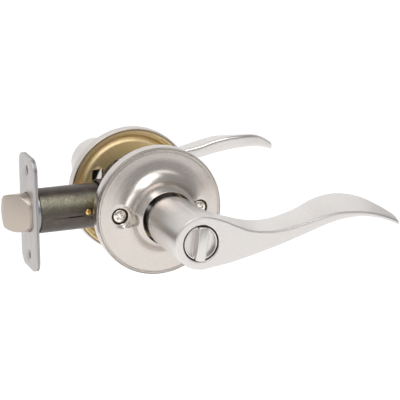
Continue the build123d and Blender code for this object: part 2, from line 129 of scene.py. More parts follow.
def grid_faces(rows, columns, close_rows, close_columns):
    """Quads of a grid of points numbered row by row, closed round either way if asked."""
    last_row = rows if close_rows else rows - 1
    last_column = columns if close_columns else columns - 1
    i, j = np.meshgrid(np.arange(last_row), np.arange(last_column), indexing="ij")
    i, j = i.ravel(), j.ravel()
    up, right = (i + 1) % rows, (j + 1) % columns
    return np.stack([i * columns + j, up * columns + j, up * columns + right, i * columns + right], axis=1)


def turned_about_spindle(radius, height, angle, side):
    """Closed surface round the spindle axis: (radius cos a, side (half door + height), radius sin a).

    radius and height, above the door's face, are one row for every angle a, or have a row for each.
    """
    angle = np.asarray(angle)[:, None]
    x = radius * np.cos(angle)
    y = side * (HALF_DOOR + height) + 0 * x
    z = radius * np.sin(angle)
    points = np.stack([x, y, z], axis=-1)
    return points.reshape(-1, 3), [grid_faces(*points.shape[:2], True, True)]


def turned_about_latch(profile, steps):
    """Closed profile of (X, radius) turned round the latch axis: (x, radius cos a, radius sin a)."""
    angle = np.linspace(0, 2 * math.pi, steps, endpoint=False)[:, None]
    along, radius = profile.T
    x = along + 0 * angle
    points = np.stack([x, radius * np.cos(angle), radius * np.sin(angle)], axis=-1)
    return points.reshape(-1, 3), [grid_faces(*points.shape[:2], True, True)]


def full_turn(steps):
    return np.linspace(0, 2 * math.pi, steps, endpoint=False)


POINTS_PER_CORNER = 6
# Points closer than this count as one
SAME_POINT = 1e-4


def rounded(corners):
    """Closed outline whose corners (x, y, radius) are rounded, as an array of points.

    Each corner becomes a quadratic curve from a point `radius` before it to one `radius` after it.
    """
    corners = np.asarray(corners, float)
    places, reach = corners[:, :2], corners[:, 2:3]
    before = np.roll(places, 1, axis=0) - places
    after = np.roll(places, -1, axis=0) - places
    start = places + before / np.linalg.norm(before, axis=1, keepdims=True) * reach
    end = places + after / np.linalg.norm(after, axis=1, keepdims=True) * reach
    t = np.linspace(0, 1, POINTS_PER_CORNER)[None, :, None]
    arcs = (1 - t) ** 2 * start[:, None] + 2 * t * (1 - t) * places[:, None] + t ** 2 * end[:, None]
    points = arcs.reshape(-1, 2)
    keep = np.linalg.norm(points - np.roll(points, 1, axis=0), axis=1) > SAME_POINT
    return points[keep]


def rounded_box(low_x, low_z, high_x, high_z, radius):
    """Outline of a box in X and Z with rounded corners."""
    corners = ((low_x, low_z), (high_x, low_z), (high_x, high_z), (low_x, high_z))
    return rounded([(x, z, radius) for x, z in corners])


def smooth_curve(x, knots, values):
    """Value at x of a smooth curve through (knots, values).

    It is made of cubic pieces, whose slope at a knot is that of the chord between the knot's neighbours.
    """
    knots, values = np.asarray(knots, float), np.asarray(values, float)
    slope = np.gradient(values, knots)
    i = np.clip(np.searchsorted(knots, x) - 1, 0, len(knots) - 2)
    width = knots[i + 1] - knots[i]
    t = np.clip((x - knots[i]) / width, 0, 1)
    rise = t * t * (3 - 2 * t)
    start = values[i] + (values[i + 1] - values[i]) * rise
    lean = width * (slope[i] * t * (1 - t) ** 2 - slope[i + 1] * t * t * (1 - t))
    return start + lean


# Solids given by a function that is negative inside

def soft_min(a, b, reach):
    """The smaller of a and b, blended by a quadratic where they differ by less than reach."""
    h = np.clip(0.5 + 0.5 * (b - a) / reach, 0, 1)
    return b + (a - b) * h - reach * h * (1 - h)


def soft_max(a, b, reach):
    """The larger of a and b, blended in the same way."""
    return -soft_min(-a, -b, reach)


# How net draws its points onto the surface: the number of steps along the slope, then how far apart the slope is
# sampled and the longest step, both as shares of a cell.
NET_STEPS = 3
SLOPE_SAMPLE = 0.02
LONGEST_STEP = 0.3


def net(shape, low, high, cell):
    """Closed surface where shape(x, y, z) = 0, as points and quads.

    Each grid cell that the surface crosses gets one point, the mean of the crossings on its edges, drawn onto the
    surface along the slope. Each grid edge that the surface crosses gets a quad of the four points round it.
    """
    axes = [np.arange(a, b + cell, cell) for a, b in zip(low, high)]
    value = shape(*np.meshgrid(*axes, indexing="ij"))
    inside = value < 0
    corners = np.array([[i, j, k] for i in (0, 1) for j in (0, 1) for k in (0, 1)])
    size = np.array(value.shape) - 1
    count = sum(inside[i:i + size[0], j:j + size[1], k:k + size[2]].astype(int) for i, j, k in corners)
    active = (count > 0) & (count < 8)
    cells = np.argwhere(active)
    number = np.full(size, -1)
    number[active] = np.arange(len(cells))
    total, hits = np.zeros((len(cells), 3)), np.zeros(len(cells))
    for corner in corners:
        for axis in range(3):
            if corner[axis]:
                continue
            other = corner + np.eye(3, dtype=int)[axis]
            first = value[tuple((cells + corner).T)]
            second = value[tuple((cells + other).T)]
            crossed = (first < 0) != (second < 0)
            share = np.where(crossed, first / np.where(crossed, first - second, 1), 0)
            place = cells + corner + share[:, None] * (other - corner)
            total += np.where(crossed[:, None], place, 0)
            hits += crossed
    points = np.array(low) + cell * total / hits[:, None]
    sample = SLOPE_SAMPLE * cell
    for _ in range(NET_STEPS):
        here = shape(*points.T)
        slope = np.stack([
            (shape(*(points + sample * unit).T) - shape(*(points - sample * unit).T)) / (2 * sample)
            for unit in np.eye(3)
        ], axis=1)
        move = here[:, None] * slope / np.maximum((slope ** 2).sum(axis=1, keepdims=True), 1e-6)
        points -= np.clip(move, -LONGEST_STEP * cell, LONGEST_STEP * cell)
    quads = []
    for axis in range(3):
        one, two = np.eye(3, dtype=int)[(axis + 1) % 3], np.eye(3, dtype=int)[(axis + 2) % 3]
        ahead = np.eye(3, dtype=int)[axis]
        start = inside[:value.shape[0] - ahead[0], :value.shape[1] - ahead[1], :value.shape[2] - ahead[2]]
        end = inside[ahead[0]:, ahead[1]:, ahead[2]:]
        for crossing, turn in ((start & ~end, 1), (~start & end, -1)):
            edges = np.argwhere(crossing)
            fits = ((edges - one - two >= 0) & (edges < size)).all(axis=1)
            edges = edges[fits]
            ring = [edges, edges - one, edges - one - two, edges - two]
            quad = np.stack([number[tuple(r.T)] for r in ring], axis=1)
            quads.append(quad[:, ::turn])
    return points, [np.concatenate(quads)]


def step(x):
    """Rises smoothly from 0 at x = 0 to 1 at x = 1: 3 x squared less 2 x cubed."""
    t = np.clip(x, 0, 1)
    return t * t * (3 - 2 * t)


# Cutting and easing

def settle(piece):
    """Puts the result of the modifiers into the piece's own mesh."""
    bpy.context.view_layer.update()
    graph = bpy.context.evaluated_depsgraph_get()
    mesh = bpy.data.meshes.new_from_object(piece.evaluated_get(graph))
    piece.modifiers.clear()
    piece.data = mesh


def hole(outline, low, high):
    """Cutter along Y between two heights, from an outline of (X, Z) points."""
    x, z = np.asarray(outline).T
    return new_piece("cutter", capped([np.stack([x, 0 * x + y, z], axis=1) for y in (low, high)]))


def drill(piece, cutters):
    """Cuts the cutters out of the piece's mesh and removes them."""
    for cutter in cutters:
        cut = piece.modifiers.new("cut", "BOOLEAN")
        cut.operation = "DIFFERENCE"
        cut.solver = "EXACT"
        cut.object = cutter
    settle(piece)
    for cutter in cutters:
        bpy.data.objects.remove(cutter)


def round_outline(radius, x, z):
    """Circle of points (x + radius cos a, z + radius sin a)."""
    angle = full_turn(48)
    return np.stack([x + radius * np.cos(angle), z + radius * np.sin(angle)], axis=1)


# In metres: corners of a frame node's mesh that are closer than this count as one
SAME_PLACE = 1e-6
FLAT_ANGLE = math.radians(0.5)
SHARP_ANGLE = math.radians(35)


def eased(node, width):
    """Copy of a frame node with its doubles merged, its flat faces made whole and its sharp edges rounded over."""
    mesh = frame["nodes"][node].data.copy()
    work = bmesh.new()
    work.from_mesh(mesh)
    bmesh.ops.remove_doubles(work, verts=work.verts, dist=SAME_PLACE)
    bmesh.ops.dissolve_limit(work, angle_limit=FLAT_ANGLE, verts=work.verts, edges=work.edges)
    work.to_mesh(mesh)
    work.free()
    mesh.polygons.foreach_set("use_smooth", np.ones(len(mesh.polygons), dtype=bool))
    piece = bpy.data.objects.new(f"{node}_eased", mesh)
    bpy.context.scene.collection.objects.link(piece)
    bevel = piece.modifiers.new("eased", "BEVEL")
    bevel.width = width * MM
    bevel.segments = 3
    bevel.limit_method = "ANGLE"
    bevel.angle_limit = SHARP_ANGLE
    bevel.harden_normals = True
    settle(piece)
    stands_for(piece, node)
    return piece


# Levers

# Blade from the neck to the tip: place along X, top and bottom of the face, depth behind the face, and top and
# bottom of the rear edge.
BLADE = np.array([
    (0.0, 12.2, -12.3, 30.0, 12.2, -12.2),
    (4.0, 12.0, -12.3, 28.0, 11.6, -11.4),
    (9.0, 10.8, -11.9, 24.0, 9.6, -9.6),
    (13.0, 9.1, -11.4, 19.6, 8.4, -8.0),
    (17.5, 6.8, -10.7, 16.6, 7.6, -6.4),
    (24.0, 3.8, -9.3, 14.9, 5.9, -4.4),
    (31.0, 2.2, -7.6, 14.4, 4.7, -3.0),
    (38.0, 1.7, -5.8, 14.7, 4.5, -2.2),
    (46.0, 2.5, -3.5, 15.8, 5.4, -1.3),
    (55.0, 4.3, -0.7, 17.7, 7.2, 0.2),
    (63.0, 6.1, 1.8, 19.4, 9.9, 2.2),
    (71.0, 7.0, 3.6, 20.4, 11.3, 3.6),
    (79.0, 6.5, 4.1, 19.9, 11.4, 4.0),
    (87.0, 5.2, 3.2, 16.4, 10.0, 2.9),
    (94.0, 2.9, 1.2, 11.0, 6.9, 0.6),
    (100.0, 0.2, -1.5, 6.6, 3.0, -2.0),
    (106.0, -3.4, -5.0, 3.0, -1.6, -5.0),
])
# Factors that make up for the lean of the blade's sides and of its rear
SIDE_SLOPE = 0.93
REAR_SLOPE = 0.9
CROWN = 0.5
# The blade's lines run on to this share of its depth, behind its rear edge
LAST_SHARE = 1.2
# How far the tip and the neck stay inside the frame's sizes
TIP_INSET = 0.15
NECK_INSET = 0.05
# How far each pair of surfaces is blended
BLADE_EDGE_BLEND = 0.7
REAR_EDGE_BLEND = 2.2
TIP_BLEND = 1.6
NECK_END_BLEND = 3.0
NECK_BLADE_BLEND = 1.6
FACE_EDGE_BLEND = 0.55
BORE_EDGE_BLEND = 0.3

# Heights above the door's face at which the neck and the hub end, how far the hub runs up into the neck, and the
# radii of its outside and of its bore
NECK_START = 23.5
HUB_END = 1.2
HUB_OVERLAP = 3
HUB_RADIUS = 11.6
HUB_BORE = 8.0

# Room left round a lever's surface by its grid, and the size of the grid's cells
SIDE_ROOM = 0.9
TIP_ROOM = 1.0
TOP_ROOM = 1.2
LEVER_CELL = 0.5

# Radius and depth of the hole in each lever's face
BUTTON_BORE = (8.8, 13.0)
RELEASE_HOLE = (1.6, 4.0)


def lever_shape(x, deep, z, bore_radius, bore_depth):
    """Negative inside the lever. deep is the distance behind the face.

    The blade lies between a top and a bottom surface, which run straight from the face's outline to the rear
    edge's, and the neck is a cylinder. They are blended, then cut flat at the face.
    """
    place, face_top, face_bottom, depth, rear_top, rear_bottom = BLADE.T
    reach = smooth_curve(x, place, depth)
    share = np.clip(deep / reach, 0, LAST_SHARE)
    crown = CROWN * share * (1 - share)
    top = smooth_curve(x, place, face_top) * (1 - share) + smooth_curve(x, place, rear_top) * share + crown
    low = smooth_curve(x, place, face_bottom) * (1 - share) + smooth_curve(x, place, rear_bottom) * share
    blade = soft_max((z - top) * SIDE_SLOPE, (low - z) * SIDE_SLOPE, BLADE_EDGE_BLEND)
    blade = soft_max(blade, (deep - reach) * REAR_SLOPE, REAR_EDGE_BLEND)
    blade = soft_max(blade, x - LEVER_LENGTH + TIP_INSET, TIP_BLEND)
    blade = np.maximum(blade, -x)
    radius = np.hypot(x, z)
    neck = soft_max(radius - NECK_RADIUS + NECK_INSET, deep - (STAND_OFF - NECK_START), NECK_END_BLEND)
    body = soft_min(neck, blade, NECK_BLADE_BLEND)
    body = soft_max(body, -deep, FACE_EDGE_BLEND)
    return soft_max(body, -np.maximum(radius - bore_radius, deep - bore_depth), BORE_EDGE_BLEND)


def make_lever(side, room, bore_radius, bore_depth):
    """Blade and neck, and the hollow hub that runs on into the backplate's sleeve."""
    def shape(x, y, z):
        return lever_shape(x, FACE_Y - side * y, z, bore_radius, bore_depth)

    rear = STAND_OFF - NECK_START + 1
    ends = sorted((side * (FACE_Y + SIDE_ROOM), side * (FACE_Y - rear)))
    low = (-NECK_RADIUS - SIDE_ROOM, ends[0], -NECK_RADIUS - SIDE_ROOM)
    high = (LEVER_LENGTH + TIP_ROOM, ends[1], NECK_RADIUS + TOP_ROOM)
    hub = rounded([
        (HUB_RADIUS, NECK_START + HUB_OVERLAP, 0.1),
        (HUB_RADIUS, HUB_END, 0.3),
        (HUB_BORE, HUB_END, 0.3),
        (HUB_BORE, NECK_START + HUB_OVERLAP, 0.1),
    ])
    lever = new_piece(f"{room}_lever_body", joined(
        net(shape, low, high, LEVER_CELL),
        turned_about_spindle(hub[:, 0], hub[:, 1], full_turn(96), side),
    ))
    stands_for(lever, f"{room}_lever")
    return lever


# Roses

# Screw cups: heights of the flat land round a cup and of the seat in it, then the land's fall towards the collar,
# where it meets the dome and over what width, and the moat round the screw head.
CUP_LAND = 7.25
CUP_SEAT = 6.1
LAND_FALL = 0.12
LAND_RADIUS = 4.4
LAND_BLEND = 1.9
CUP_BORE = 4.15
CUP_BORE_LEAD = 0.15
CUP_BORE_BLEND = 0.2
MOAT_DEPTH = 0.6
MOAT_RADIUS = 3.3
MOAT_BLEND = 0.15
SCREW_HOLE = 2.6

# Radii between which a rose's rows of points run, from the rim in to the mouth, finely where the dome curves
DOME_EDGE = 30.2
FINE_OUTER = 26.8
FINE_INNER = 14.6
MOUTH_OUTER = 13.4
MOUTH_INNER = 13.2
FINE_ROWS = 80

# Wall of the rose: one wall below the dome, taken a little further out, and thinner where a cup comes close
DOME_WALL = 1.0
DOME_WALL_SHIFT = 0.95
THIN_WALL = 0.45
WALL_GROWTH = 0.4
WALL_GROWTH_END = 1.5

# Rolled rim from its inner edge at the door out and over, as (radius, height, rounding)
RIM = rounded([
    (ROSE_RADIUS - 1.1, 0.0, 0.15),
    (ROSE_RADIUS - 0.3, 0.0, 0.3),
    (ROSE_RADIUS, 5.9, 1.6),
    (ROSE_RADIUS - 0.9, 6.9, 0.5),
    (ROSE_RADIUS - 1.75, 6.95, 0.2),
    (ROSE_RADIUS - 1.95, 6.6, 0.15),
    (ROSE_RADIUS - 2.25, 6.66, 0.1),
])[:-1]
# Section of the dome, as (radius, height)
DOME = np.array([
    (DOME_EDGE, 6.66),
    (24.75, 7.27),
    (20.46, 8.68),
    (17.2, 12.23),
    (15.39, 16.78),
    (MOUTH_OUTER, COLLAR_HEIGHT - 0.02),
])


def dome_height(radius):
    """Height of the dome's outside at a radius.

    It is a smooth curve through DOME, spaced by the chords between its points.
    """
    chord = np.concatenate([[0], np.cumsum(np.hypot(*np.diff(DOME, axis=0).T))])
    t = np.linspace(0, chord[-1], 600)
    radii, heights = (smooth_curve(t, chord, values)[::-1] for values in DOME.T)
    return np.interp(radius, radii, heights)


def rose_height(radius, angle, cups):
    """Height of a rose's outside.

    Round each screw the dome sinks to a flat land, and inside that to a floor with a moat.
    """
    dome = dome_height(radius) + 0 * angle
    if not cups:
        return dome
    reach = np.hypot(np.abs(radius * np.cos(angle)) - SCREW_X, radius * np.sin(angle))
    flat = CUP_LAND + LAND_FALL * np.maximum(SCREW_X + CUP_BORE - radius, 0)
    land = dome + (np.minimum(dome, flat) - dome) * (1 - step((reach - LAND_RADIUS) / LAND_BLEND))
    floor = CUP_SEAT - MOAT_DEPTH * step((reach - MOAT_RADIUS) / MOAT_BLEND)
    return floor + (land - floor) * step((reach - CUP_BORE + CUP_BORE_LEAD) / CUP_BORE_BLEND)


def make_rose(side, room, cups):
    """Rim, outside from the rim in to the collar's mouth, rolled mouth, and an inside one wall below the outside.

    The columns of points stand closer together across the screw cups, which face +X and -X.
    """
    angle = np.radians(np.arange(-180, 180, 1.5))
    if cups:
        fine, coarse = np.arange(-18, 18, 0.45), np.arange(18, 162, 1.5)
        angle = np.radians(np.concatenate([fine, coarse, fine + 180, coarse + 180]))
    column = angle[:, None]
    out = np.concatenate([
        np.linspace(DOME_EDGE, 27, 8),
        np.linspace(FINE_OUTER, FINE_INNER, FINE_ROWS),
        np.linspace(14.4, MOUTH_OUTER, 8),
    ])
    back = np.concatenate([
        np.linspace(13.3, 14.4, 6),
        np.linspace(FINE_INNER, FINE_OUTER, FINE_ROWS),
        np.linspace(27, DOME_EDGE, 6),
    ])
    outside = rose_height(out, column, cups)
    above = rose_height(back, column, cups)
    wall = THIN_WALL + WALL_GROWTH * np.clip(above - CUP_SEAT, 0, WALL_GROWTH_END)
    inside = np.minimum(dome_height(back + DOME_WALL_SHIFT) - DOME_WALL, above - wall)
    mouth = np.array([
        (13.27, COLLAR_HEIGHT - 0.06),
        (MOUTH_INNER, COLLAR_HEIGHT - 0.2),
        (MOUTH_INNER, COLLAR_HEIGHT - 1.9),
    ])
    foot = np.array([(ROSE_RADIUS - 1.9, 5.3), (ROSE_RADIUS - 1.1, 4.7)])
    ones = np.ones_like(column)
    radius = np.concatenate([RIM[:, 0], out, mouth[:, 0], back, foot[:, 0]])
    height = np.concatenate([RIM[:, 1] * ones, outside, mouth[:, 1] * ones, inside, foot[:, 1] * ones], axis=1)
    rose = new_piece(f"{room}_rose_cover", turned_about_spindle(radius, height, angle, side))
    if cups:
        ends = sorted((side * (HALF_DOOR + 4), side * (HALF_DOOR + 8)))
        drill(rose, [hole(round_outline(SCREW_HOLE, x, 0), *ends) for x in (-SCREW_X, SCREW_X)])
    stands_for(rose, f"{room}_rose")
    return rose


# Backplates

PLATE_EDGE = ROSE_RADIUS - 1.4
PLATE_WALL = 1.2
# Section of the stepped pressing and its sleeve, as (radius, height, rounding): the side away from the door from
# the edge in to the sleeve, then the sleeve's bore, and the side towards the door back out to the edge.
PLATE_SECTION = rounded([
    (PLATE_EDGE, 0.6, 0.1),
    (PLATE_EDGE, 5.0, 1.1),
    (27.8, 5.0, 0.8),
    (25.2, 2.4, 0.8),
    (19.1, 2.4, 0.6),
    (18.2, 5.0, 0.6),
    (13.9, 5.0, 0.6),
    (12.9, 6.0, 0.6),
    (12.9, 11.0, 0.2),
    (11.65, 11.0, 0.2),
    (11.65, 4.6, 0.3),
    (12.4, 3.8, 0.3),
    (17.4, 3.8, 0.3),
    (18.3, 1.2, 0.6),
    (25.7, 1.2, 0.8),
    (28.3, 3.8, 0.5),
    (PLATE_EDGE - PLATE_WALL, 3.8, 0.4),
    (PLATE_EDGE - PLATE_WALL, 0.6, 0.1),
])
# Curved slot: its first and last angle in degrees, and its outer and inner radius
SLOT_SWEEP = (57, 123)
SLOT_RADII = (17.0, 15.1)
# Window: low X, low Z, high X, high Z and the corners' radius
WINDOW = (-20.75, 6.25, -14.45, 12.55, 0.8)


def make_backplate(side, room):
    """The turned pressing, with its curved slot, its window and its two screw holes cut through."""
    radius, height = PLATE_SECTION.T
    plate = new_piece(f"{room}_backplate_pressing", turned_about_spindle(radius, height, full_turn(240), side))
    sweep = np.radians(np.linspace(*SLOT_SWEEP, 34))
    arc = np.stack([np.cos(sweep), np.sin(sweep)], axis=1)
    slot = np.concatenate([SLOT_RADII[0] * arc, SLOT_RADII[1] * arc[::-1]])
    ends = sorted((side * (HALF_DOOR - 1), side * (HALF_DOOR + 7)))
    screw_holes = [round_outline(SCREW_HOLE, x, 0) for x in (-SCREW_X, SCREW_X)]
    outlines = [slot, rounded_box(*WINDOW), *screw_holes]
    drill(plate, [hole(outline, *ends) for outline in outlines])
    stands_for(plate, f"{room}_backplate")
    return plate


# Mounting screws

HEAD_RISE = 1.6
HEAD_INSET = 0.25
HEAD_CURVE = 0.07
HEAD_EDGE_BLEND = 0.35
HEAD_ROOM = 0.3
HEAD_CELL = 0.11
# Cross recess: length and half width of an arm at the top and how fast each shrinks with depth, then the depth
RECESS_ARM = (2.0, 0.5)
RECESS_HALF_WIDTH = (0.66, 0.14)
RECESS_DEPTH = 1.25
RECESS_EDGE_BLEND = 0.12
# Angle of each screw's recess, for the screw at -X and the one at +X
RECESS_TURNS = (0.62, 0.25)

SHANK_RADIUS = 2.03
THREAD_PITCH = 1.25
THREAD_DEPTH = 0.32
THREAD_START = -19
THREAD_RUN_IN = 1.5
TIP_RADIUS = 1.3
TIP_SLOPE = 0.8


def screw_head(u, v, rise, turn):
    """Negative inside a domed head with a cross recess whose arms narrow with depth."""
    reach = np.hypot(u, v)
    side, top = reach - SCREW_HEAD_RADIUS + HEAD_INSET, rise - HEAD_RISE + HEAD_CURVE * reach ** 2
    dome = soft_max(side, top, HEAD_EDGE_BLEND)
    dome = np.maximum(dome, -rise)
    a, b = u * math.cos(turn) + v * math.sin(turn), v * math.cos(turn) - u * math.sin(turn)
    deep = HEAD_RISE - rise
    arm, half = (start - shrink * deep for start, shrink in (RECESS_ARM, RECESS_HALF_WIDTH))
    one = np.maximum(np.abs(a) - arm, np.abs(b) - half)
    two = np.maximum(np.abs(b) - arm, np.abs(a) - half)
    recess = np.maximum(np.minimum(one, two), deep - RECESS_DEPTH)
    return soft_max(dome, -recess, RECESS_EDGE_BLEND)


def screw_shank(x):
    """Shank along Y with a thread: its radius rises and falls with a triangle wave that winds once a pitch."""
    y = np.linspace(screws_low[1] + HEAD_RISE - 0.3, screws_high[1], 300)[:, None]
    angle = full_turn(28)
    phase = (y / THREAD_PITCH + angle / (2 * math.pi)) % 1
    thread = np.abs(2 * phase - 1) * THREAD_DEPTH * step((y - THREAD_START) / THREAD_RUN_IN)
    radius = np.minimum(SHANK_RADIUS - thread, TIP_RADIUS + (screws_high[1] - y) * TIP_SLOPE)
    return capped(np.stack([x + radius * np.cos(angle), y + 0 * radius, radius * np.sin(angle)], axis=-1))


def screw(x, turn):
    """Head and shank of the screw at X, with its recess at an angle."""
    seat = screws_low[1] + HEAD_RISE
    span = SCREW_HEAD_RADIUS + HEAD_ROOM

    def shape(px, py, pz):
        return screw_head(px - x, pz, seat - py, turn)

    low, high = (x - span, seat - HEAD_RISE - HEAD_ROOM, -span), (x + span, seat + HEAD_ROOM, span)
    return joined(net(shape, low, high, HEAD_CELL), screw_shank(x))


def make_screws():
    pair = [screw(x, turn) for x, turn in zip((-SCREW_X, SCREW_X), RECESS_TURNS)]
    screws = new_piece("mounting_screw_pair", joined(*pair))
    stands_for(screws, "mounting_screws")
    return screws


# Turn button

BUTTON_RADIUS = 8.25
BUTTON_SETBACK = 0.4
BUTTON_THICKNESS = 9.5
BAR_RISE = 3.2
BAR_HALF_WIDTH = 2.6
BAR_TILT = math.radians(8)
BAR_DRAFT = 0.02
BAR_CROWN = 0.012
POCKET_RADIUS = 7.4
POCKET_HALF_LENGTH = 6.4
BAR_ROOT = 3.0
BAR_TOP_BLEND = 1.5
BAR_END_BLEND = 0.6
BAR_ROOT_BLEND = 0.25
DISC_EDGE_BLEND = 0.5
POCKET_EDGE_BLEND = 0.35
POCKET_DEPTH = 2.0
BUTTON_ROOM = 0.4
BUTTON_CELL = 0.2


def button_shape(u, v, deep):
    """Negative inside the turn button: a disc with a pocket each side of a raised grip bar with eased edges."""
    reach = np.hypot(u, v)
    disc = soft_max(reach - BUTTON_RADIUS, -deep, DISC_EDGE_BLEND)
    disc = soft_max(disc, deep - BUTTON_THICKNESS, DISC_EDGE_BLEND)
    pocket = np.maximum(np.maximum(reach - POCKET_RADIUS, np.abs(v) - POCKET_HALF_LENGTH), deep - POCKET_DEPTH)
    disc = soft_max(disc, -pocket, POCKET_EDGE_BLEND)
    walls = np.abs(u) - BAR_HALF_WIDTH + BAR_DRAFT * np.maximum(-deep, 0)
    bar = soft_max(walls, -BAR_RISE - deep + BAR_CROWN * v ** 2, BAR_TOP_BLEND)
    bar = soft_max(bar, reach - BUTTON_RADIUS, BAR_END_BLEND)
    bar = np.maximum(bar, deep - BAR_ROOT)
    return soft_min(disc, bar, BAR_ROOT_BLEND)


def make_button():
    face = FACE_Y - BUTTON_SETBACK

    def shape(x, y, z):
        u = x * math.cos(BAR_TILT) - z * math.sin(BAR_TILT)
        v = x * math.sin(BAR_TILT) + z * math.cos(BAR_TILT)
        return button_shape(u, v, y + face)

    span = BUTTON_RADIUS + BUTTON_ROOM
    low = (-span, -face - BAR_RISE - BUTTON_ROOM, -span)
    high = (span, -face + BUTTON_THICKNESS + BUTTON_ROOM, span)
    button = new_piece("turn_button_body", net(shape, low, high, BUTTON_CELL))
    stands_for(button, "turn_button")
    return button


# Latch

TUBE_WALL = 0.9
END_WALL = 2.0
END_HOLE_RADIUS = 2.0
# Slit: low X, low Z, high X, high Z and the corners' radius
SLIT = (-42.0, -2.25, -34.3, -1.65, 0.2)
# Windows in the end wall: half their width along Y, and the low and high Z of each
RAIL_HALF_WIDTH = 4.9
RAIL_HEIGHTS = ((4.5, 8.3), (-8.3, -4.5))


def make_tube():
    """Tube and its end wall, turned round the latch axis, with a slit in the side and windows for the rails."""
    front, back, radius = tube_low[0], tube_high[0], tube_high[2]
    profile = rounded([
        (front, radius - TUBE_WALL, 0.15),
        (front, radius, 0.3),
        (back, radius, 0.2),
        (back, END_HOLE_RADIUS, 0.2),
        (back - END_WALL, END_HOLE_RADIUS, 0.2),
        (back - END_WALL, radius - TUBE_WALL, 0.3),
    ])
    tube = new_piece("latch_tube_body", turned_about_latch(profile, 180))
    cutters = [hole(rounded_box(*SLIT), -radius - 1, -radius + 3)]
    for low, high in RAIL_HEIGHTS:
        window = np.array([(back - 3, low), (back + 1, low), (back + 1, high), (back - 3, high)])
        cutters.append(hole(window, -RAIL_HALF_WIDTH, RAIL_HALF_WIDTH))
    drill(tube, cutters)
    stands_for(tube, "latch_tube")
    return tube


RIVET_RIM = 0.3
RIVET_DOME = 0.5


def make_rivet():
    """Domed rivet through the tube's side: rings along Y whose radius closes in as a quarter circle."""
    x, z = (rivet_low[0] + rivet_high[0]) / 2, (rivet_low[2] + rivet_high[2]) / 2
    radius = (rivet_high[0] - rivet_low[0]) / 2
    lift = np.linspace(0, 1, 10)
    y = np.concatenate([[rivet_high[1]], rivet_low[1] + RIVET_RIM - RIVET_DOME * lift])
    rings = np.concatenate([[radius], radius * np.sqrt(1 - (0.97 * lift) ** 2)])
    angle = full_turn(40)
    points = np.stack([
        x + rings[:, None] * np.cos(angle), y[:, None] + 0 * angle, z + rings[:, None] * np.sin(angle),
    ], axis=-1)
    rivet = new_piece("latch_rivet_domed", capped(points))
    stands_for(rivet, "latch_rivet")
    return rivet


WIRE_RADIUS = 0.5
SPRING_TURNS = 7.0
# Share of the spring's length that its first and its last turn each take up
END_TURN_SHARE = 0.16


def make_bolt_spring():
    """Round wire wound about the latch axis, which shortens as the bolt draws in.

    Its centre line is (x(t), r cos a, r sin a), with a closer coil at each end. The wire's section is drawn in the
    plane of the axis and the radius.
    """
    low, high = box_mm("bolt_spring")
    radius = high[2] - WIRE_RADIUS
    t = np.linspace(0, 1, 900)[:, None]
    angle = 2 * math.pi * SPRING_TURNS * t
    turns = [0, 1, SPRING_TURNS - 1, SPRING_TURNS]
    lead = np.interp(t * SPRING_TURNS, turns, [0, END_TURN_SHARE, 1 - END_TURN_SHARE, 1.0])
    along = low[0] + WIRE_RADIUS + (high[0] - low[0] - 2 * WIRE_RADIUS) * lead
    section = full_turn(14)
    reach = radius + WIRE_RADIUS * np.cos(section)
    points = np.stack([
        along + WIRE_RADIUS * np.sin(section), reach * np.cos(angle), reach * np.sin(angle),
    ], axis=-1)
    spring = new_piece("bolt_spring_coil", capped(points))
    stands_for(spring, "bolt_spring")
    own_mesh(spring)
    return spring


# How far the edges are rounded on the pieces that keep the frame's own shape
EASED_WIDTHS = {
    "latch_faceplate": 0.3,
    "faceplate_backing": 0.2,
    "latch_collar": 0.15,
    "latch_bolt": 0.6,
    "latch_case": 0.3,
    "latch_hub": 0.3,
    "bolt_retractor": 0.25,
    "interior_drive_cam": 0.15,
    "exterior_drive_cam": 0.15,
    "interior_retaining_ring": 0.15,
    "exterior_retaining_ring": 0.15,
    "screw_posts": 0.2,
    "spindle": 0.3,
    "lock_rod": 0.3,
    "emergency_release": 0.2,
}

interior_lever = make_lever(INSIDE, "interior", *BUTTON_BORE)
exterior_lever = make_lever(OUTSIDE, "exterior", *RELEASE_HOLE)
interior_rose = make_rose(INSIDE, "interior", True)
exterior_rose = make_rose(OUTSIDE, "exterior", False)
interior_backplate = make_backplate(INSIDE, "interior")
exterior_backplate = make_backplate(OUTSIDE, "exterior")
screws = make_screws()
button = make_button()
tube = make_tube()
rivet = make_rivet()
bolt_spring = make_bolt_spring()
eased_pieces = {node: eased(node, width) for node, width in EASED_WIDTHS.items()}


# Materials

SATIN_NICKEL = (0.69, 0.66, 0.64)
SPUN_NICKEL = (0.625, 0.575, 0.535)
PLATE_NICKEL = (0.50, 0.475, 0.465)
BOLT_NICKEL = (0.50, 0.435, 0.38)
BRIGHT_NICKEL = (0.86, 0.82, 0.76)
CLEAR_ZINC = (0.58, 0.58, 0.59)
SPRING_STEEL = (0.36, 0.36, 0.37)
BRASS = (0.85, 0.58, 0.22)
# Painted shade for the recess round each screw head in the interior rose's cups
CUP_PAINTED_SHADE = (0.10, 0.07, 0.035)
ZINC = {
    "plate": (0.78, 0.56, 0.25),
    "gold": (0.98, 0.76, 0.42),
    "olive": (0.74, 0.62, 0.33),
    "rose": (0.88, 0.60, 0.44),
    "worn": (1.0, 0.88, 0.62),
    "speck": (0.38, 0.29, 0.13),
}
OXIDE = {
    "steel": (0.15, 0.14, 0.13),
    "brown": (0.05, 0.04, 0.041),
    "olive": (0.11, 0.107, 0.08),
    "plum": (0.09, 0.068, 0.06),
    "rubbed": (0.15, 0.135, 0.125),
    # Paler colour of the painted highlight band along the tube
    "highlight_band": (0.27, 0.265, 0.20),
    "speck": (0.66, 0.55, 0.33),
}
# In metres, as the shaders count: where the neck's grain ends along Y, and the height of the tube's painted
# highlight band
NECK_GRAIN_END = 0.063
HIGHLIGHT_BAND_HEIGHT = 0.0052


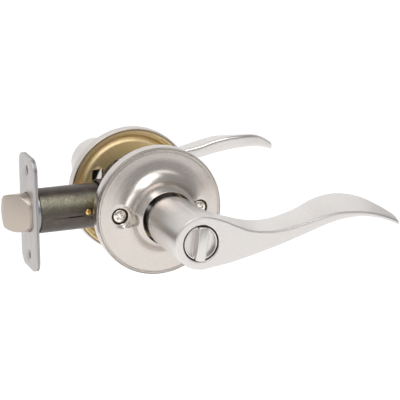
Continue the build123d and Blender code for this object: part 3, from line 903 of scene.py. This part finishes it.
class Wire:
    """A node's output socket. On it + - * ** and math() add Math nodes."""

    def __init__(self, finish, socket):
        self.finish = finish
        self.socket = socket

    def math(self, operation, *others):
        return self.finish.node("ShaderNodeMath", {"operation": operation}, [self, *others])

    def __add__(self, other):
        return self.math("ADD", other)

    __radd__ = __add__

    def __mul__(self, other):
        return self.math("MULTIPLY", other)

    def __sub__(self, other):
        return self.math("SUBTRACT", other)

    def __rsub__(self, other):
        return self.finish.node("ShaderNodeMath", {"operation": "SUBTRACT"}, [other, self])

    def __pow__(self, other):
        return self.math("POWER", other)

    def limited(self, low, high):
        return self.math("MAXIMUM", low).math("MINIMUM", high)


class Finish:
    """A material being made, with its Principled shader and one method that adds any other node."""

    def __init__(self, name, color, roughness, metallic=1.0):
        self.material = bpy.data.materials.new(name)
        self.material.use_nodes = True
        self.tree = self.material.node_tree
        self.shader = self.tree.nodes["Principled BSDF"]
        self.shader.inputs["Base Color"].default_value = (*color, 1)
        self.shader.inputs["Roughness"].default_value = roughness
        self.shader.inputs["Metallic"].default_value = metallic

    def node(self, kind, settings, values, output=0):
        """Adds a node of a type, with its settings first, then its sockets' values or links by number or name."""
        made = self.tree.nodes.new(kind)
        for key, value in settings.items():
            setattr(made, key, value)
        pairs = values.items() if isinstance(values, dict) else enumerate(values)
        for key, value in pairs:
            if isinstance(value, Wire):
                self.tree.links.new(value.socket, made.inputs[key])
            elif value is not None:
                made.inputs[key].default_value = value
        return Wire(self, made.outputs[output])

    def place(self):
        return self.node("ShaderNodeTexCoord", {}, [], "Object")

    def scaled(self, vector, scale):
        return self.node("ShaderNodeMapping", {}, {"Vector": vector, "Scale": scale})

    def split(self, vector):
        made = self.node("ShaderNodeSeparateXYZ", {}, [vector])
        outputs = made.socket.node.outputs
        return [Wire(self, outputs[i]) for i in range(3)]

    def join(self, x, y, z):
        return self.node("ShaderNodeCombineXYZ", {}, [x, y, z])

    def noise(self, vector, scale, detail=3.0, roughness=0.5):
        values = {"Vector": vector, "Scale": scale, "Detail": detail, "Roughness": roughness}
        return self.node("ShaderNodeTexNoise", {}, values)

    def blend(self, share, first, second):
        """Colour between two colours by a share from 0 to 1."""
        made = self.tree.nodes.new("ShaderNodeMix")
        made.data_type = "RGBA"
        for key, value in ((0, share), (6, first), (7, second)):
            if isinstance(value, Wire):
                self.tree.links.new(value.socket, made.inputs[key])
            else:
                made.inputs[key].default_value = value if key == 0 else (*value, 1)
        return Wire(self, made.outputs[2])

    def bump(self, height, strength, distance):
        normal = self.node("ShaderNodeBump", {}, {"Height": height, "Strength": strength, "Distance": distance})
        self.tree.links.new(normal.socket, self.shader.inputs["Normal"])

    def feed(self, name, wire):
        self.tree.links.new(wire.socket, self.shader.inputs[name])


def shades(color, darker, lighter):
    """A darker and a lighter shade of a colour, by two factors."""
    return tuple(c * darker for c in color), tuple(min(1.0, c * lighter) for c in color)


def brushed(name, color, roughness, stretch):
    """Satin metal brushed along a direction: noise stretched by the scales in stretch, in cycles per metre."""
    finish = Finish(name, color, roughness)
    place = finish.place()
    grain = finish.noise(finish.scaled(place, stretch), 1.0, 4.0, 0.6)
    clouds = finish.noise(place, 60.0, 2.0)
    finish.feed("Roughness", roughness + (grain - 0.5) * 0.16 + (clouds - 0.5) * 0.06)
    finish.feed("Base Color", finish.blend(grain * 0.6 + clouds * 0.4, *shades(color, 0.96, 1.04)))
    finish.bump(grain, 0.12, 0.00005)
    return finish.material


def long_grain(name, color, roughness):
    """Lever metal: brushed along the blade, and on the neck brushed along the spindle axis, in broader bands."""
    finish = Finish(name, color, roughness)
    place = finish.place()
    y = finish.split(place)[1]
    on_neck = ((NECK_GRAIN_END - y.math("ABSOLUTE")) * 300.0).limited(0.0, 1.0)
    blade_grain = finish.noise(finish.scaled(place, (120.0, 4200.0, 4200.0)), 1.0, 4.0, 0.6)
    neck_grain = finish.noise(finish.scaled(place, (1500.0, 70.0, 1500.0)), 1.0, 5.0, 0.7)
    grain = blade_grain + (neck_grain - blade_grain) * on_neck
    clouds = finish.noise(place, 60.0, 2.0)
    finish.feed("Roughness", roughness + (grain - 0.5) * 0.2 + (clouds - 0.5) * 0.06)
    finish.feed("Base Color", finish.blend(grain * 0.6 + clouds * 0.4, *shades(color, 0.94, 1.05)))
    finish.bump(grain, 0.14, 0.00006)
    return finish.material


def spun(name, color, roughness, cups):
    """Satin metal brushed in circles about the spindle axis.

    Its noise changes quickly with the radius and slowly along the angle. In the screw cups it is painted dark
    brown, as painted shade in the recess round each screw head.
    """
    finish = Finish(name, color, roughness)
    x, y, z = finish.split(finish.place())
    radius = (x * x + z * z) ** 0.5
    angle = z.math("ARCTAN2", x)
    ring = finish.join((radius + y * 0.7) * 9000.0, angle.math("SINE") * 6.0, angle.math("COSINE") * 6.0)
    grain = finish.noise(ring, 1.0, 3.0, 0.6)
    clouds = finish.noise(finish.place(), 45.0, 2.0)
    finish.feed("Roughness", roughness + (grain - 0.5) * 0.16 + (clouds - 0.5) * 0.08)
    metal = finish.blend(grain * 0.6 + clouds * 0.4, *shades(color, 0.95, 1.04))
    if cups:
        # Painted shade: inside each cup's bore the metal is blended to dark brown
        beside = x.math("ABSOLUTE") - SCREW_X * MM
        reach = (beside * beside + z * z) ** 0.5
        cup_shade = ((CUP_BORE * MM - reach) * 9000.0).limited(0.0, 1.0)
        metal = finish.blend(cup_shade, metal, CUP_PAINTED_SHADE)
    finish.feed("Base Color", metal)
    finish.bump(grain, 0.12, 0.00005)
    return finish.material


def yellow_zinc():
    """Yellow zinc plate: gold that drifts towards olive and rose, with fine radial wear and darker specks."""
    finish = Finish("yellow_zinc_plate", ZINC["plate"], 0.4)
    place = finish.place()
    x, y, z = finish.split(place)
    angle = z.math("ARCTAN2", x)
    spokes = finish.join(angle.math("SINE") * 60.0, angle.math("COSINE") * 60.0, y * 300.0)
    streak = finish.noise(spokes, 1.0, 3.0, 0.6)
    drift = finish.noise(place, 55.0, 3.0, 0.6)
    speckle = finish.noise(place, 420.0, 3.0, 0.6)
    gold = finish.blend(drift, ZINC["gold"], ZINC["olive"])
    play = finish.noise(place, 95.0, 2.0)
    rose = finish.blend((play - 0.5) * 1.8 + 0.1, gold, ZINC["rose"])
    worn = finish.blend((streak - 0.3) * 1.3, rose, ZINC["worn"])
    finish.feed("Base Color", finish.blend(speckle * 0.22, worn, ZINC["speck"]))
    finish.feed("Roughness", 0.36 + speckle * 0.16 + streak * 0.1)
    finish.bump(speckle + streak * 0.5, 0.12, 0.0001)
    return finish.material


def dark_oxide():
    """Dark steel tube: brown-grey oxide with olive and plum patches, rubbed along the tube.

    A paler band along its upper half is a painted highlight, and its fine brassy specks are stronger along that
    band. The band's strength falls off with the square of the distance from the band's middle.
    """
    finish = Finish("dark_oxide_steel", OXIDE["steel"], 0.38)
    place = finish.place()
    rub = finish.noise(finish.scaled(place, (90.0, 900.0, 900.0)), 1.0, 4.0, 0.65)
    patch = finish.noise(place, 150.0, 4.0, 0.65)
    warm = finish.noise(place, 60.0, 3.0, 0.6)
    fleck = finish.noise(place, 1300.0, 2.0, 0.6)
    tint = finish.blend(patch * 2.4 - 0.7, OXIDE["brown"], OXIDE["olive"])
    tint = finish.blend(warm * 2.0 - 0.6, tint, OXIDE["plum"])
    tint = finish.blend(rub * 0.5, tint, OXIDE["rubbed"])
    # Painted highlight: a paler band at one height along the tube, where light falls on it
    height = finish.split(place)[2]
    off_highlight_band = (height - HIGHLIGHT_BAND_HEIGHT) * 230.0
    highlight_band = (1.0 - off_highlight_band * off_highlight_band).math("MAXIMUM", 0.0)
    tint = finish.blend(highlight_band * (patch * 1.8 - 0.2).limited(0.15, 1.0), tint, OXIDE["highlight_band"])
    # The brassy specks are real flecks, made stronger along the painted highlight band
    specks = (fleck * 6.0 - 3.4) * patch * (highlight_band + 0.25)
    finish.feed("Base Color", finish.blend(specks.limited(0.0, 0.7), tint, OXIDE["speck"]))
    finish.feed("Roughness", 0.24 + rub * 0.2 + patch * 0.12)
    finish.bump(rub + fleck * 0.4, 0.2, 0.0001)
    return finish.material


def plain_metal(name, color, roughness, scale):
    """Small plated part: even metal with a fine mottle in its colour and roughness."""
    finish = Finish(name, color, roughness)
    mottle = finish.noise(finish.place(), scale, 3.0, 0.6)
    finish.feed("Base Color", finish.blend(mottle, *shades(color, 0.88, 1.0)))
    finish.feed("Roughness", roughness * 0.8 + mottle * roughness * 0.4)
    finish.bump(mottle, 0.06, 0.00005)
    return finish.material


lever_metal = long_grain("satin_nickel_long_grain", SATIN_NICKEL, 0.3)
rose_metal = spun("satin_nickel_spun", SPUN_NICKEL, 0.27, False)
cupped_rose_metal = spun("satin_nickel_spun_with_cups", SPUN_NICKEL, 0.27, True)
plate_metal = brushed("satin_nickel_plate", PLATE_NICKEL, 0.42, (3000.0, 3000.0, 160.0))
bolt_metal = brushed("satin_nickel_bolt", BOLT_NICKEL, 0.4, (2600.0, 2600.0, 300.0))
zinc_plate = yellow_zinc()
tube_metal = dark_oxide()
steel = plain_metal("clear_zinc_steel", CLEAR_ZINC, 0.32, 500.0)
wire_metal = plain_metal("spring_wire", SPRING_STEEL, 0.35, 700.0)
screw_metal = plain_metal("bright_nickel", BRIGHT_NICKEL, 0.12, 300.0)
brass = plain_metal("rivet_brass", BRASS, 0.22, 400.0)


def coat(piece, material):
    """Gives a piece one material on all its faces."""
    piece.data.materials.clear()
    piece.data.materials.append(material)


def coat_node(node, material):
    """Gives a frame node a material in its object's own slots."""
    shown = frame["nodes"][node]
    for place in shown.material_slots:
        place.link = "OBJECT"
        place.material = material


# The retaining rings are dark steel; the faceplate backing and the latch collar get the same dark steel as painted
# shade, for the dark edge behind the faceplate and the gap before the tube
DARK_STEEL_AND_SHADE_NODES = ("interior_retaining_ring", "exterior_retaining_ring", "faceplate_backing", "latch_collar")
STEEL_NODES = (
    "latch_hub", "bolt_retractor", "interior_drive_cam", "exterior_drive_cam", "spindle", "lock_rod",
    "emergency_release",
)
for pieces, material in (
    ((interior_lever, exterior_lever, button), lever_metal),
    ((interior_rose,), cupped_rose_metal),
    ((exterior_rose,), rose_metal),
    ((interior_backplate, exterior_backplate, eased_pieces["screw_posts"]), zinc_plate),
    ((screws,), screw_metal),
    ((tube, eased_pieces["latch_case"]), tube_metal),
    ((rivet,), brass),
    ((eased_pieces["latch_faceplate"],), plate_metal),
    ((eased_pieces["latch_bolt"],), bolt_metal),
    ((bolt_spring, *(eased_pieces[node] for node in DARK_STEEL_AND_SHADE_NODES)), wire_metal),
    ([eased_pieces[node] for node in STEEL_NODES], steel),
):
    for piece in pieces:
        coat(piece, material)
for node in ("interior_return_spring", "exterior_return_spring"):
    coat_node(node, wire_metal)


# Camera, floor and lights, in metres

AZIMUTH = math.radians(-20.7)
ELEVATION = math.radians(16.0)
ROLL = math.radians(-0.5)
DISTANCE = 1.0
LENS = 177.6
SENSOR = 36
AIM = np.array([0.0303, 0.0, -0.0038])

FLOOR_DROP = 0.16
FLOOR_HALF_WIDTH = 5.0
BEND_START = 1.2
BEND_RADIUS = 1.5
FLOOR_GLOW = 0.3
WORLD_GLOW = 0.4

# Name, place, target, width and height, and power in watts
LIGHTS = (
    ("overhead", (-0.3, -0.55, 1.2), (0, 0, 0), (1.2, 1.0), 9.5),
    ("far_floor", (0.1, 1.7, 1.4), (0.1, 1.75, -FLOOR_DROP), (3.2, 1.4), 6),
    ("left", (-1.3, -0.5, 0.5), (0, 0, 0), (0.4, 1.0), 2.5),
    ("front_floor", (0.7, -1.3, 1.1), (0.7, -1.25, -FLOOR_DROP), (1.2, 1.0), 4),
)


def place_camera():
    """Camera looking at AIM from DISTANCE away, turned by AZIMUTH, raised by ELEVATION and tipped by ROLL."""
    back = np.array([
        math.sin(AZIMUTH) * math.cos(ELEVATION),
        -math.cos(AZIMUTH) * math.cos(ELEVATION),
        math.sin(ELEVATION),
    ])
    right = np.array([math.cos(AZIMUTH), math.sin(AZIMUTH), 0.0])
    up = np.cross(back, right)
    right, up = (
        math.cos(ROLL) * right + math.sin(ROLL) * up,
        math.cos(ROLL) * up - math.sin(ROLL) * right,
    )
    data = bpy.data.cameras.new("camera")
    data.lens = LENS
    data.sensor_width = SENSOR
    camera = bpy.data.objects.new("camera", data)
    bpy.context.scene.collection.objects.link(camera)
    turn = np.eye(4)
    turn[:3, 0], turn[:3, 1], turn[:3, 2] = right, up, back
    turn[:3, 3] = AIM + back * DISTANCE
    camera.matrix_world = Matrix(turn.tolist())
    bpy.context.scene.camera = camera


def soft_light(name, place, target, size, power):
    """White rectangular light at a place, turned towards a target."""
    data = bpy.data.lights.new(name, "AREA")
    data.shape = "RECTANGLE"
    data.size, data.size_y = size
    data.energy = power
    light = bpy.data.objects.new(name, data)
    bpy.context.scene.collection.objects.link(light)
    way = np.array(target) - np.array(place)
    turn = Vector(way).to_track_quat("-Z", "Y").to_matrix().to_4x4()
    light.matrix_world = Matrix.Translation(place) @ turn


def make_floor():
    """Pale floor that bends up into a pale wall behind, far from the object."""
    angle = np.linspace(0, 1, 60) * math.pi / 2
    wall = BEND_START + BEND_RADIUS
    along = np.concatenate([np.linspace(-4, 1.1, 12), BEND_START + np.sin(angle) * BEND_RADIUS, np.full(6, wall)])
    rise = np.concatenate([np.zeros(12), (1 - np.cos(angle)) * BEND_RADIUS, np.linspace(1.6, 5, 6)]) - FLOOR_DROP
    x = np.array([[-FLOOR_HALF_WIDTH, FLOOR_HALF_WIDTH]]) + 0 * along[:, None]
    points = np.stack([x, along[:, None] + 0 * x, rise[:, None] + 0 * x], axis=-1).reshape(-1, 3)
    floor = new_piece("floor", (points / MM, [grid_faces(len(along), 2, False, False)]))
    pale = Finish("pale_floor", (0.92, 0.92, 0.92), 0.8, 0.0)
    pale.shader.inputs["Emission Color"].default_value = (1, 1, 1, 1)
    pale.shader.inputs["Emission Strength"].default_value = FLOOR_GLOW
    coat(floor, pale.material)


place_camera()
make_floor()
for row in LIGHTS:
    soft_light(*row)
world = bpy.data.worlds.new("studio")
bpy.context.scene.world = world
world.use_nodes = True
world.node_tree.nodes["Background"].inputs["Color"].default_value = (1, 1, 1, 1)
world.node_tree.nodes["Background"].inputs["Strength"].default_value = WORLD_GLOW
bpy.context.scene.view_settings.view_transform = "Standard"
